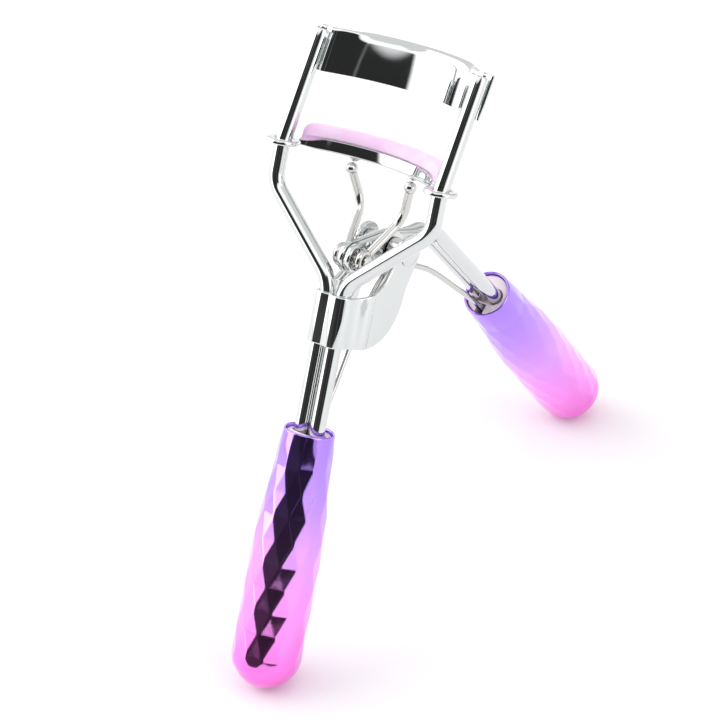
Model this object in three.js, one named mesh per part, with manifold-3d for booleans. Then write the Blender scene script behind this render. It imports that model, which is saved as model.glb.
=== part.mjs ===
// Eyelash curler standing open like an easel on its two handle ends.
// Millimetres, +Z up. The origin is the floor point under the front handle's round end,
// +Y runs back towards the lever handle and +X towards the right-hand cage rod.
import * as THREE from "three";
import { mergeVertices } from "three/addons/utils/BufferGeometryUtils.js";
import Module from "manifold-3d";

// ---- driving dimensions ----
const ROD_RADIUS = 1.35;            // cage, shank and lever rods
const ROD_SIDES = 10;
const GAP = 0.3;                    // clearance between neighbouring pieces
const SHEET = 0.8;                  // bracket sheet thickness

const HANDLE_RADIUS = 5.7;
const HANDLE_CORE = 39.4;           // mouth to the centre of the round end
const MOUTH_RADIUS = 4.3;
const MOUTH_BORE_RADIUS = 3.5;
const HANDLE_BORE_DEPTH = 30;
const TAPER_LENGTH = 20;            // the handle swells from the mouth over this length
const FACET_SIDES = 12;
const FACET_PITCH = 4.1;            // length of one row of diamond facets
const FACET_ROWS = 7;
const FACET_START = 10;             // fluted length below the mouth
const PLUG_DEPTH = 7;
const PLUG_RECESS = 0.5;
const ROD_DEPTH = 24;               // rod length held inside a handle

const SHANK_LEAN = THREE.MathUtils.degToRad(26.3);    // front arm from the vertical
const CAGE_BEND = THREE.MathUtils.degToRad(15);       // cage leans back by this much more
const LEVER_LEAN = THREE.MathUtils.degToRad(32.3);    // rear handle from the vertical
const REAR_MOUTH = new THREE.Vector3(0, 66.3, 39);

const SHANK_X = 1.5;                // half spacing of the paired rods
const NECK_S = 24.9;                // shank length from the mouth to the neck
const CAGE_X = 16;                  // half spacing of the cage rods
const SHOULDER_S = 37.6;
const BEND_S = 44;
const CAGE_HEIGHT = 19.8;           // from the bend to the rod tops

const JAW_SAG = 7.5;                // depth of the jaw curve behind the rods
const JAW_RADIUS = (CAGE_X ** 2 + JAW_SAG ** 2) / (2 * JAW_SAG);
const JAW_END_X = 14.4;
const JAW_STEPS = 20;
const UPPER_BOTTOM = 12.85;         // heights above the bend, measured at the rods
const UPPER_TOP = 20.3;
const UPPER_THICKNESS = 1.0;
const SLEEVE_RADIUS = 2.45;         // wraps of the upper jaw around the rods
const SLEEVE_BORE = ROD_RADIUS + GAP;
const SLEEVE_FRONT = 0.8;           // the wraps stop this far behind the rod axes
const CHANNEL_BOTTOM = 0.1;
const CHANNEL_TOP = 2.2;
const CHANNEL_WIDTH = 3.2;
const GROOVE_WIDTH = 2.2;
const GROOVE_DEPTH = 1.3;
const PAD_WIDTH = 2.6;
const PAD_TOP = 4.25;
const PAD_END_X = 13.2;
const LUG_RADIUS = 2.8;
const LUG_THICKNESS = 0.9;

const BRACKET_BOTTOM = 14.7;        // along the shank from the mouth
const BRACKET_TOP = 23.3;
const WRAP_INNER_X = SHANK_X + ROD_RADIUS + GAP;
const WRAP_OUTER_X = WRAP_INNER_X + SHEET;
const EAR_INNER_X = 3.9;
const EAR_OUTER_X = EAR_INNER_X + SHEET;
const PIVOT_S = 30.4;
const PIVOT_P = 11.8;
const EAR_RADIUS = 3.2;
const RIVET_RADIUS = 1.2;
const RIVET_HEAD_RADIUS = 2.1;
const RIVET_HEAD = 0.6;
const PIVOT_HOLE_RADIUS = RIVET_RADIUS + GAP;

const EYE_INNER_X = 0.2;            // flattened front ends of the lever arms
const EYE_OUTER_X = 1.2;
const PIVOT_EYE_RADIUS = 2.9;
const LINK_PIN_RADIUS = 0.65;
const LINK_EYE_CLEARANCE = 1.15;    // play left at the link pin, where the linkage loop is open
const LEVER_BEND = new THREE.Vector3(0, 52.5, 59.9);
const LINK_PIN = new THREE.Vector3(0, 32.8, 65.9);
const LINK_RADIUS = 0.75;
const LINK_LOW_X = 2.25;
const LINK_KNEE = new THREE.Vector3(4.3, 41.4, 70);
const LINK_TOP_X = 6;
const LINK_BALL_RADIUS = 1.05;
const SPRING_RADIUS = 0.5;
const SPRING_OFFSET = 2.6;          // spring wire off the handle axis inside each mouth

// ---- solids ----
const wasm = await Module();
wasm.setup();

function toSolid(geometry) {
  const bare = geometry.index ? geometry.toNonIndexed() : geometry.clone();
  bare.deleteAttribute("normal");
  bare.deleteAttribute("uv");
  const merged = mergeVertices(bare, 1e-4);
  return new wasm.Manifold(new wasm.Mesh({
    numProp: 3,
    vertProperties: new Float32Array(merged.attributes.position.array),
    triVerts: new Uint32Array(merged.index.array),
  }));
}

function toGeometry(solid) {
  const mesh = solid.getMesh();
  const geometry = new THREE.BufferGeometry();
  geometry.setAttribute("position", new THREE.Float32BufferAttribute(mesh.vertProperties, 3));
  geometry.setIndex(new THREE.Uint32BufferAttribute(mesh.triVerts, 1));
  geometry.computeVertexNormals();
  return geometry;
}

function cut(base, ...tools) {
  return toGeometry(tools.reduce((solid, tool) => solid.subtract(toSolid(tool)), toSolid(base)));
}

function join(base, ...others) {
  return toGeometry(others.reduce((solid, other) => solid.add(toSolid(other)), toSolid(base)));
}

function cylinderX(radius, fromX, toX, sides = 16) {
  const geometry = new THREE.CylinderGeometry(radius, radius, toX - fromX, sides);
  geometry.rotateZ(Math.PI / 2);
  return geometry.translate((fromX + toX) / 2, 0, 0);
}

function cylinderZ(radius, fromZ, toZ, sides = 20) {
  const geometry = new THREE.CylinderGeometry(radius, radius, toZ - fromZ, sides);
  geometry.rotateX(Math.PI / 2);
  return geometry.translate(0, 0, (fromZ + toZ) / 2);
}

function box(min, max) {
  const size = new THREE.Vector3().subVectors(max, min);
  const geometry = new THREE.BoxGeometry(size.x, size.y, size.z);
  return geometry.translate((min.x + max.x) / 2, (min.y + max.y) / 2, (min.z + max.z) / 2);
}

// A plate in the YZ plane from its outline, between two X values.
function plateX(shape, fromX, toX, curveSegments = 10) {
  const geometry = new THREE.ExtrudeGeometry(shape, {
    depth: toX - fromX, bevelEnabled: false, curveSegments,
  });
  // shape x becomes +Y, shape y becomes +Z and the depth becomes +X
  const turn = new THREE.Matrix4().makeBasis(
    new THREE.Vector3(0, 1, 0), new THREE.Vector3(0, 0, 1), new THREE.Vector3(1, 0, 0));
  return geometry.applyMatrix4(turn).translate(fromX, 0, 0);
}

function roundSection(radius, sides) {
  const shape = new THREE.Shape();
  for (let i = 0; i < sides; i += 1) {
    const angle = (i / sides) * 2 * Math.PI;
    const x = radius * Math.cos(angle);
    const y = radius * Math.sin(angle);
    if (i === 0) shape.moveTo(x, y);
    else shape.lineTo(x, y);
  }
  shape.closePath();
  return shape;
}

// Straight runs through the points, with each inner corner rounded by its own radius.
function filletedPath(points, radii) {
  const path = new THREE.CurvePath();
  let start = points[0];
  for (let i = 1; i < points.length - 1; i += 1) {
    const into = new THREE.Vector3().subVectors(points[i - 1], points[i]).normalize();
    const out = new THREE.Vector3().subVectors(points[i + 1], points[i]).normalize();
    const tangent = radii[i - 1] / Math.tan(into.angleTo(out) / 2);
    const from = points[i].clone().addScaledVector(into, tangent);
    const to = points[i].clone().addScaledVector(out, tangent);
    path.add(new THREE.LineCurve3(start, from));
    path.add(new THREE.QuadraticBezierCurve3(from, points[i], to));
    start = to;
  }
  path.add(new THREE.LineCurve3(start, points[points.length - 1]));
  return path;
}

function wire(curve, radius, steps, sides = ROD_SIDES) {
  return new THREE.ExtrudeGeometry(roundSection(radius, sides), {
    extrudePath: curve, steps, bevelEnabled: false,
  });
}

function material(color, roughness, metalness) {
  return new THREE.MeshStandardMaterial({ color, roughness, metalness });
}

const chrome = () => material(0xd9dcde, 0.06, 1);
const plating = () => material(0xc070e0, 0.18, 0.9);
const plugPlastic = () => material(0xf4e6ea, 0.4, 0);
const silicone = () => material(0xf9d2f6, 0.45, 0);
const springSteel = () => material(0xc9c9c4, 0.2, 1);

function piece(parent, name, geometry, finish) {
  const mesh = new THREE.Mesh(geometry, finish);
  mesh.name = name;
  parent.add(mesh);
  return mesh;
}

// ---- frames of reference ----
const curler = new THREE.Group();

// Front arm: origin at the handle mouth, local Z up the shank, local Y to its back.
const frontArm = new THREE.Group();
frontArm.position.set(0, HANDLE_CORE * Math.sin(SHANK_LEAN),
  HANDLE_RADIUS + HANDLE_CORE * Math.cos(SHANK_LEAN));
frontArm.rotation.x = -SHANK_LEAN;
curler.add(frontArm);

// Cage: origin midway between the rods at the bend, local Z up the cage rods.
const cage = new THREE.Group();
cage.position.set(0, 0, BEND_S);
cage.rotation.x = -CAGE_BEND;
frontArm.add(cage);

// Rear handle: origin at its mouth, local Z out of the mouth.
const rearArm = new THREE.Group();
rearArm.position.copy(REAR_MOUTH);
rearArm.rotation.x = LEVER_LEAN;
curler.add(rearArm);
curler.updateMatrixWorld(true);

const pivot = frontArm.localToWorld(new THREE.Vector3(0, PIVOT_P, PIVOT_S));

// ---- handles ----
function handleProfile() {
  const full = HANDLE_RADIUS / Math.cos(Math.PI / FACET_SIDES);
  const profile = [new THREE.Vector2(0, 0), new THREE.Vector2(MOUTH_RADIUS, 0)];
  for (let row = 0; row <= FACET_ROWS; row += 1) {
    const depth = FACET_START + row * FACET_PITCH;
    const radius = THREE.MathUtils.lerp(MOUTH_RADIUS, full, Math.min(1, depth / TAPER_LENGTH));
    profile.push(new THREE.Vector2(radius, -depth));
  }
  for (const angle of [22, 48, 72]) {
    const turn = THREE.MathUtils.degToRad(angle);
    profile.push(new THREE.Vector2(HANDLE_RADIUS * Math.cos(turn),
      -HANDLE_CORE - HANDLE_RADIUS * Math.sin(turn)));
  }
  profile.push(new THREE.Vector2(0, -HANDLE_CORE - HANDLE_RADIUS));
  return profile.reverse();
}

// Each row of corners is turned half a side past the row before it, which makes the diamonds.
function facetedHandle() {
  const profile = handleProfile();
  const geometry = new THREE.LatheGeometry(profile, FACET_SIDES);
  const position = geometry.attributes.position;
  for (let i = 0; i < position.count; i += 1) {
    const row = i % profile.length;
    const turn = (row * Math.PI) / FACET_SIDES;
    const x = position.getX(i);
    const z = position.getZ(i);
    position.setX(i, x * Math.cos(turn) + z * Math.sin(turn));
    position.setZ(i, z * Math.cos(turn) - x * Math.sin(turn));
  }
  return geometry.rotateX(Math.PI / 2);
}

function addHandle(parent, name, springSide) {
  const bore = cylinderZ(MOUTH_BORE_RADIUS, -HANDLE_BORE_DEPTH, 1);
  piece(parent, `${name}_handle_shell`, cut(facetedHandle(), bore), plating());
  const plugRadius = MOUTH_BORE_RADIUS - GAP;
  const plug = cylinderZ(plugRadius, -PLUG_RECESS - PLUG_DEPTH, -PLUG_RECESS);
  const holes = [-1, 1].map((side) => cylinderZ(ROD_RADIUS + 0.15, -PLUG_DEPTH - 2, 1, 14)
    .translate(side * SHANK_X, 0, 0));
  const notchHalf = SPRING_RADIUS + GAP;
  const notch = box(
    new THREE.Vector3(-notchHalf, SPRING_OFFSET - notchHalf, -PLUG_DEPTH - 2),
    new THREE.Vector3(notchHalf, SPRING_OFFSET + 3, 1));
  if (springSide < 0) notch.rotateZ(Math.PI);
  piece(parent, `${name}_handle_plug`, cut(plug, ...holes, notch), plugPlastic());
}

addHandle(frontArm, "front", 1);
addHandle(rearArm, "rear", -1);

// ---- front arm rods, one each side, from the handle to the top of the cage ----
const bendBack = new THREE.Vector3(0, Math.sin(CAGE_BEND), Math.cos(CAGE_BEND));
for (const [name, side] of [["left_frame_rod", -1], ["right_frame_rod", 1]]) {
  const bend = new THREE.Vector3(side * CAGE_X, 0, BEND_S);
  const path = filletedPath([
    new THREE.Vector3(side * SHANK_X, 0, -ROD_DEPTH),
    new THREE.Vector3(side * SHANK_X, 0, NECK_S),
    new THREE.Vector3(side * CAGE_X, 0, SHOULDER_S),
    bend,
    bend.clone().addScaledVector(bendBack, CAGE_HEIGHT),
  ], [5, 5, 5]);
  piece(frontArm, name, wire(path, ROD_RADIUS, 56), chrome());
}

// ---- jaws ----
// A band that follows the jaw curve: its middle line runs through both rods.
function jawBand(width, endX) {
  const centreY = JAW_SAG - JAW_RADIUS;
  const reach = Math.asin(endX / JAW_RADIUS);
  const shape = new THREE.Shape();
  shape.absarc(0, centreY, JAW_RADIUS + width / 2, Math.PI / 2 + reach, Math.PI / 2 - reach, true);
  shape.absarc(0, centreY, JAW_RADIUS - width / 2, Math.PI / 2 - reach, Math.PI / 2 + reach, false);
  shape.closePath();
  return shape;
}

function bandSolid(width, endX, bottom, top) {
  return new THREE.ExtrudeGeometry(jawBand(width, endX), {
    depth: top - bottom, bevelEnabled: false, curveSegments: JAW_STEPS,
  }).translate(0, 0, bottom);
}

// The jaws lie square to the shank, so their height rises towards the back of the leaning cage.
function squareToShank(geometry) {
  const shear = new THREE.Matrix4().set(
    1, 0, 0, 0,
    0, 1, 0, 0,
    0, Math.tan(CAGE_BEND), 1, 0,
    0, 0, 0, 1);
  return geometry.applyMatrix4(shear);
}

function ringSolid(centreX, outer, inner, bottom, top) {
  return cut(cylinderZ(outer, bottom, top, 16).translate(centreX, 0, 0),
    cylinderZ(inner, bottom - 1, top + 1, 16).translate(centreX, 0, 0));
}

function upperJaw() {
  const parts = [-1, 1].map((side) => {
    const sleeve = ringSolid(side * CAGE_X, SLEEVE_RADIUS, SLEEVE_BORE, UPPER_BOTTOM, UPPER_TOP);
    const front = box(
      new THREE.Vector3(side * CAGE_X - 4, -4, UPPER_BOTTOM - 1),
      new THREE.Vector3(side * CAGE_X + 4, SLEEVE_FRONT, UPPER_TOP + 1));
    return cut(sleeve, front);
  });
  return squareToShank(join(bandSolid(UPPER_THICKNESS, JAW_END_X, UPPER_BOTTOM, UPPER_TOP), ...parts));
}

function lowerChannel() {
  const groove = bandSolid(GROOVE_WIDTH, PAD_END_X + 0.6, CHANNEL_TOP - GROOVE_DEPTH, CHANNEL_TOP + 1);
  const lugs = [-1, 1].map((side) => ringSolid(side * CAGE_X, LUG_RADIUS, SLEEVE_BORE + 0.1,
    CHANNEL_BOTTOM, CHANNEL_BOTTOM + LUG_THICKNESS));
  const rivetHoles = [-1, 1].map((side) => cylinderZ(0.6, CHANNEL_BOTTOM - 1, CHANNEL_TOP, 10)
    .translate(side * LINK_TOP_X, jawDepth(LINK_TOP_X), 0));
  const band = cut(bandSolid(CHANNEL_WIDTH, JAW_END_X - 0.3, CHANNEL_BOTTOM, CHANNEL_TOP),
    groove, ...rivetHoles);
  return squareToShank(join(band, ...lugs));
}

function jawDepth(x) {
  return JAW_SAG - JAW_RADIUS + Math.sqrt(JAW_RADIUS ** 2 - x ** 2);
}

function lashPad() {
  const tongueFloor = CHANNEL_TOP - GROOVE_DEPTH + GAP;
  const tongue = bandSolid(GROOVE_WIDTH - 2 * GAP, PAD_END_X, tongueFloor, PAD_TOP - 0.5);
  const crown = bandSolid(PAD_WIDTH, PAD_END_X, CHANNEL_TOP + GAP, PAD_TOP);
  const rivetRelief = [-1, 1].map((side) => cylinderZ(1.3, CHANNEL_TOP - GROOVE_DEPTH - 1,
    CHANNEL_TOP, 12).translate(side * LINK_TOP_X, jawDepth(LINK_TOP_X), 0));
  return squareToShank(join(cut(tongue, ...rivetRelief), crown));
}

piece(cage, "upper_jaw", upperJaw(), chrome());
piece(cage, "lower_jaw_channel", lowerChannel(), chrome());
piece(cage, "lash_pad", lashPad(), silicone());

// ---- links between the lower jaw and the lever ----
function linkTop(side) {
  const depth = jawDepth(LINK_TOP_X);
  const underside = CHANNEL_BOTTOM + depth * Math.tan(CAGE_BEND);
  return new THREE.Vector3(side * LINK_TOP_X, depth, underside - 1 - GAP - LINK_BALL_RADIUS);
}

for (const [name, side] of [["left", -1], ["right", 1]]) {
  const ballInCage = linkTop(side);
  const floorTop = CHANNEL_TOP - GROOVE_DEPTH;
  const rivet = join(
    cylinderZ(0.4, CHANNEL_BOTTOM - 0.6, floorTop + 0.35, 10),
    cylinderZ(0.85, floorTop + 0.1, floorTop + 0.5, 12),
    cylinderZ(0.9, CHANNEL_BOTTOM - 1, CHANNEL_BOTTOM - 0.2, 12))
    .translate(side * LINK_TOP_X, jawDepth(LINK_TOP_X), 0);
  piece(cage, `${name}_link_rivet`, squareToShank(rivet), chrome());

  const ball = cage.localToWorld(ballInCage.clone());
  const knee = new THREE.Vector3(side * LINK_KNEE.x, LINK_KNEE.y, LINK_KNEE.z);
  const eye = new THREE.Vector3(side * LINK_LOW_X, LINK_PIN.y, LINK_PIN.z);
  const towardKnee = new THREE.Vector3(0, knee.y - eye.y, knee.z - eye.z).normalize();
  const eyeReach = LINK_PIN_RADIUS + GAP + LINK_RADIUS;
  const wireEnd = eye.clone().addScaledVector(towardKnee, eyeReach);
  const path = filletedPath([ball, knee, wireEnd], [4]);
  const ring = cut(
    cylinderX(LINK_PIN_RADIUS + GAP + 1, -0.6, 0.6, 14),
    cylinderX(LINK_PIN_RADIUS + GAP, -1, 1, 14)).translate(eye.x, eye.y, eye.z);
  const bead = new THREE.SphereGeometry(LINK_BALL_RADIUS, 12, 8).translate(ball.x, ball.y, ball.z);
  piece(curler, `${name}_link`, join(wire(path, LINK_RADIUS, 22, 8), ring, bead), springSteel());
}

const pinHalf = LINK_LOW_X + 0.6 + GAP;
const linkPin = join(
  cylinderX(LINK_PIN_RADIUS, -pinHalf - 0.3, pinHalf + 0.3, 12),
  cylinderX(1.15, -pinHalf - 0.5, -pinHalf, 12),
  cylinderX(1.15, pinHalf, pinHalf + 0.5, 12)).translate(0, LINK_PIN.y, LINK_PIN.z);
piece(curler, "link_pin", linkPin, springSteel());

// ---- bracket with two ears that carry the lever pivot ----
function earOutline() {
  const shape = new THREE.Shape();
  shape.moveTo(0, BRACKET_BOTTOM);
  shape.lineTo(4.5, BRACKET_BOTTOM);
  shape.bezierCurveTo(9, BRACKET_BOTTOM + 0.2, 12.3, 18, 12.7, 23.5);
  shape.lineTo(PIVOT_P + EAR_RADIUS, PIVOT_S);
  shape.absarc(PIVOT_P, PIVOT_S, EAR_RADIUS, 0, Math.PI, false);
  shape.bezierCurveTo(8.2, 27.6, 6.8, 24.8, 4.6, 24.2);
  shape.quadraticCurveTo(2.6, BRACKET_TOP, 0, BRACKET_TOP);
  shape.closePath();
  return shape;
}

function bracketWrap() {
  const front = -(ROD_RADIUS + GAP);
  const outerRadius = WRAP_OUTER_X - SHANK_X;
  const innerRadius = WRAP_INNER_X - SHANK_X;
  const back = 2.2;
  const shape = new THREE.Shape();
  shape.moveTo(WRAP_OUTER_X, back);
  shape.lineTo(WRAP_OUTER_X, 0);
  shape.absarc(SHANK_X, 0, outerRadius, 0, -Math.PI / 2, true);
  shape.lineTo(-SHANK_X, front - SHEET);
  shape.absarc(-SHANK_X, 0, outerRadius, -Math.PI / 2, -Math.PI, true);
  shape.lineTo(-WRAP_OUTER_X, back);
  shape.lineTo(-WRAP_INNER_X, back);
  shape.absarc(-SHANK_X, 0, innerRadius, Math.PI, Math.PI * 1.5, false);
  shape.absarc(SHANK_X, 0, innerRadius, -Math.PI / 2, 0, false);
  shape.lineTo(WRAP_INNER_X, back);
  shape.closePath();
  return new THREE.ExtrudeGeometry(shape, {
    depth: BRACKET_TOP - BRACKET_BOTTOM, bevelEnabled: false, curveSegments: 6,
  }).translate(0, 0, BRACKET_BOTTOM);
}

function bracket() {
  const ears = [
    plateX(earOutline(), EAR_INNER_X, EAR_OUTER_X),
    plateX(earOutline(), -EAR_OUTER_X, -EAR_INNER_X),
  ];
  const hole = cylinderX(PIVOT_HOLE_RADIUS, -8, 8, 16).translate(0, PIVOT_P, PIVOT_S);
  return cut(join(bracketWrap(), ...ears), hole);
}

function pivotRivet() {
  const face = EAR_OUTER_X + 0.15;
  return join(
    cylinderX(RIVET_RADIUS, -face - 0.3, face + 0.3, 14),
    cylinderX(RIVET_HEAD_RADIUS, -face - RIVET_HEAD, -face, 16),
    cylinderX(RIVET_HEAD_RADIUS, face, face + RIVET_HEAD, 16))
    .translate(0, PIVOT_P, PIVOT_S);
}

piece(frontArm, "bracket", bracket(), chrome());
piece(frontArm, "pivot_rivet", pivotRivet(), chrome());
for (const [name, side] of [["left_pivot_spacer", -1], ["right_pivot_spacer", 1]]) {
  const near = EYE_OUTER_X + GAP;
  const far = EAR_INNER_X - GAP;
  const spacer = cut(cylinderX(2.1, near, far, 16), cylinderX(PIVOT_HOLE_RADIUS, 0, 6, 16));
  if (side < 0) spacer.rotateZ(Math.PI);
  piece(frontArm, name, spacer.translate(0, PIVOT_P, PIVOT_S), springSteel());
}

// ---- lever: two rods with flattened front ends, from the link pin past the pivot to the handle ----
function leverPlate() {
  const outline = new THREE.Shape();
  const along = new THREE.Vector2(LINK_PIN.y - pivot.y, LINK_PIN.z - pivot.z);
  const angle = along.angle();
  const reach = along.length();
  const eyeRadius = LINK_PIN_RADIUS + LINK_EYE_CLEARANCE + 0.8;
  outline.absarc(0, 0, PIVOT_EYE_RADIUS, Math.PI / 2, Math.PI * 1.5, false);
  outline.absarc(reach, 0, eyeRadius, -Math.PI / 2, Math.PI / 2, false);
  outline.closePath();
  const plate = plateX(outline, EYE_INNER_X, EYE_OUTER_X);
  const holes = [
    cylinderX(PIVOT_HOLE_RADIUS, -3, 6, 16),
    cylinderX(LINK_PIN_RADIUS + LINK_EYE_CLEARANCE, -3, 6, 18).translate(0, reach, 0),
  ];
  return cut(plate, ...holes).rotateX(angle).translate(0, pivot.y, pivot.z);
}

for (const [name, side] of [["left_lever_arm", -1], ["right_lever_arm", 1]]) {
  const rodStart = new THREE.Vector3(SHANK_X, pivot.y, pivot.z)
    .lerp(new THREE.Vector3(SHANK_X, LEVER_BEND.y, LEVER_BEND.z), 0.24);
  const mouth = new THREE.Vector3(SHANK_X, REAR_MOUTH.y, REAR_MOUTH.z);
  const bend = new THREE.Vector3(SHANK_X, LEVER_BEND.y, LEVER_BEND.z);
  const inside = rearArm.localToWorld(new THREE.Vector3(SHANK_X, 0, -ROD_DEPTH));
  const path = filletedPath([rodStart, bend, mouth, inside], [5, 6]);
  const arm = join(wire(path, ROD_RADIUS, 40), leverPlate());
  if (side < 0) {
    arm.scale(-1, 1, 1);
    const index = arm.index;
    for (let i = 0; i < index.count; i += 3) {
      const first = index.getX(i);
      index.setX(i, index.getX(i + 1));
      index.setX(i + 1, first);
    }
  }
  piece(curler, name, arm, chrome());
}

// ---- opening spring: one arched wire from mouth to mouth, passing under the pivot ----
function openingSpring() {
  const inFront = (p, s) => frontArm.localToWorld(new THREE.Vector3(0, p, s));
  const inRear = (s) => rearArm.localToWorld(new THREE.Vector3(0, -SPRING_OFFSET, s));
  const path = new THREE.CatmullRomCurve3([
    inFront(SPRING_OFFSET, -PLUG_DEPTH), inFront(SPRING_OFFSET, 0),
    inFront(4.7, 7), inFront(7, 14),
    new THREE.Vector3(0, 41.2, 58.4),
    new THREE.Vector3(0, 49.6, 54.2),
    new THREE.Vector3(0, 58.2, 44.9),
    inRear(0), inRear(-PLUG_DEPTH),
  ], false, "centripetal");
  return wire(path, SPRING_RADIUS, 44, 8);
}

piece(curler, "opening_spring", openingSpring(), springSteel());

export default curler;
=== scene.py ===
"""Looks of the eyelash curler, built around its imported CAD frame.
Shapes are worked out in millimetres in the row frame, and turned into metres as each mesh is made."""
import math

import bmesh
import bpy
import numpy as np
from mathutils import Matrix, Vector


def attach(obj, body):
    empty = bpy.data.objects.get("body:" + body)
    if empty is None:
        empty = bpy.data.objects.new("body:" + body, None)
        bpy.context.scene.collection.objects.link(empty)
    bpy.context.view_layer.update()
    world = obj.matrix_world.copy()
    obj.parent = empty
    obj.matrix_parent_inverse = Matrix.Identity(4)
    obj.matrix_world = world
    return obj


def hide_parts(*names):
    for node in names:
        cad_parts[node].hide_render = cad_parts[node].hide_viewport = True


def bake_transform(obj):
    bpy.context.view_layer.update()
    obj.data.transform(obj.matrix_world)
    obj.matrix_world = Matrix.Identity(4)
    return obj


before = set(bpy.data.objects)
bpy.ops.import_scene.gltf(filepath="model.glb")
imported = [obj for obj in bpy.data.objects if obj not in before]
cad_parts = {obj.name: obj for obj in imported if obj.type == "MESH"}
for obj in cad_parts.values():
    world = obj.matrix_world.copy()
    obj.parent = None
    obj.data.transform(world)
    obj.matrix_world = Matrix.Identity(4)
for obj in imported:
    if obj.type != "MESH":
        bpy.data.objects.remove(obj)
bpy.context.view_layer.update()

MM = 0.001

# ---- driving dimensions, in millimetres, as in the CAD source ----
ROD_RADIUS = 1.35
HANDLE_RADIUS = 5.7
HANDLE_CORE = 39.4
MOUTH_RADIUS = 4.3
MOUTH_BORE_RADIUS = 3.85
TAPER_LENGTH = 20
FACET_SIDES = 12
FACET_PITCH = 4.1
FACET_ROWS = 7
FACET_START = 10
PLUG_DEPTH = 7
PLUG_RECESS = 0.5
ROD_DEPTH = 24
SHANK_LEAN = math.radians(26.3)
CAGE_BEND = math.radians(15)
LEVER_LEAN = math.radians(32.3)
REAR_MOUTH = Vector((0, 66.3, 39))
SHANK_X = 1.5
NECK_S = 24.9
CAGE_X = 16
SHOULDER_S = 37.6
BEND_S = 44
CAGE_HEIGHT = 19.8
JAW_SAG = 7.5
JAW_RADIUS = (CAGE_X ** 2 + JAW_SAG ** 2) / (2 * JAW_SAG)
UPPER_BOTTOM = 12.85
UPPER_TOP = 20.3
UPPER_THICKNESS = 0.7
UPPER_LIP = 0.55
CHANNEL_BOTTOM = 0.1
CHANNEL_TOP = 2.2
CHANNEL_WIDTH = 3.1
GROOVE_WIDTH = 2.2
GROOVE_DEPTH = 1.3
PAD_WIDTH = 2.6
PAD_TOP = 4.25
PAD_END_X = 14.2
LUG_RADIUS = 2.8
LUG_THICKNESS = 0.9
SHEET = 0.8
BRACKET_BOTTOM = 14.7
BRACKET_TOP = 23.3
BAND_SHEET = 0.6
BAND_RADIUS = 1.75
FOLD_X = 4.6
EAR_INNER_X = 3.9
EAR_OUTER_X = 4.7
PIVOT_S = 30.4
PIVOT_P = 11.8
EAR_RADIUS = 3.2
RIVET_RADIUS = 1.2
RIVET_HEAD_RADIUS = 2.1
RIVET_HEAD = 0.6
EYE_INNER_X = 0.2
EYE_OUTER_X = 1.2
PIVOT_EYE_RADIUS = 2.9
LINK_PIN_RADIUS = 0.65
LINK_EYE_HOLE = 1.8
LEVER_BEND = Vector((0, 52.5, 59.9))
LINK_PIN = Vector((0, 32.8, 65.9))
LINK_RADIUS = 0.75
LINK_LOW_X = 2.25
LINK_KNEE = Vector((4.3, 41.4, 70))
LINK_TOP_X = 6
LINK_BALL_RADIUS = 1.05
BOSS_HEIGHT = 0.7
BALL_GAP = 0.15
SPRING_RADIUS = 0.5
SPRING_OFFSET = 2.6

# ---- frames of reference, in millimetres ----
FRONT = (Matrix.Translation((0, HANDLE_CORE * math.sin(SHANK_LEAN),
                             HANDLE_RADIUS + HANDLE_CORE * math.cos(SHANK_LEAN)))
         @ Matrix.Rotation(-SHANK_LEAN, 4, "X"))
CAGE = FRONT @ Matrix.Translation((0, 0, BEND_S)) @ Matrix.Rotation(-CAGE_BEND, 4, "X")
REAR = Matrix.Translation(REAR_MOUTH) @ Matrix.Rotation(LEVER_LEAN, 4, "X")
SQUARE_TO_SHANK = Matrix(((1, 0, 0, 0), (0, 1, 0, 0), (0, math.tan(CAGE_BEND), 1, 0), (0, 0, 0, 1)))
JAWS = CAGE @ SQUARE_TO_SHANK
PIVOT = FRONT @ Vector((0, PIVOT_P, PIVOT_S))


# ---- mesh tools ----
WELD_DISTANCE = 1e-6
SHARP_ANGLE = math.radians(38)
SPAN_STEPS = 8


def new_object(name, mesh):
    obj = bpy.data.objects.new(name, mesh)
    bpy.context.scene.collection.objects.link(obj)
    return obj


def tidy_mesh(mesh):
    """Welds doubled points, turns the faces outward and shades the mesh smooth."""
    bm = bmesh.new()
    bm.from_mesh(mesh)
    bmesh.ops.remove_doubles(bm, verts=bm.verts, dist=WELD_DISTANCE)
    bmesh.ops.recalc_face_normals(bm, faces=bm.faces)
    bm.to_mesh(mesh)
    bm.free()
    mesh.shade_smooth()
    mesh.set_sharp_from_angle(angle=SHARP_ANGLE)


def mesh_object(name, points, faces, place):
    mesh = bpy.data.meshes.new(name)
    mesh.from_pydata([(place @ Vector(p)) * MM for p in points], [], faces)
    tidy_mesh(mesh)
    return new_object(name, mesh)


def grid_faces(rings, sides, close_rings=False):
    """Quads between rings of points, with a face over each open end."""
    faces = []
    last = rings if close_rings else rings - 1
    for i in range(last):
        j = (i + 1) % rings
        for k in range(sides):
            m = (k + 1) % sides
            faces.append((i * sides + k, i * sides + m, j * sides + m, j * sides + k))
    if not close_rings:
        faces.append(tuple(reversed(range(sides))))
        faces.append(tuple(range((rings - 1) * sides, rings * sides)))
    return faces


def apply_modifiers(obj):
    """Replaces the object's mesh by its evaluated one, with no modifier left."""
    bpy.context.view_layer.update()
    evaluated = obj.evaluated_get(bpy.context.evaluated_depsgraph_get())
    mesh = bpy.data.meshes.new_from_object(evaluated)
    obj.modifiers.clear()
    obj.data = mesh
    tidy_mesh(mesh)
    return obj


def boolean(obj, other, operation):
    modifier = obj.modifiers.new("boolean", "BOOLEAN")
    modifier.operation = operation
    modifier.solver = "EXACT"
    modifier.object = other
    apply_modifiers(obj)
    bpy.data.objects.remove(other)
    return obj


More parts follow.
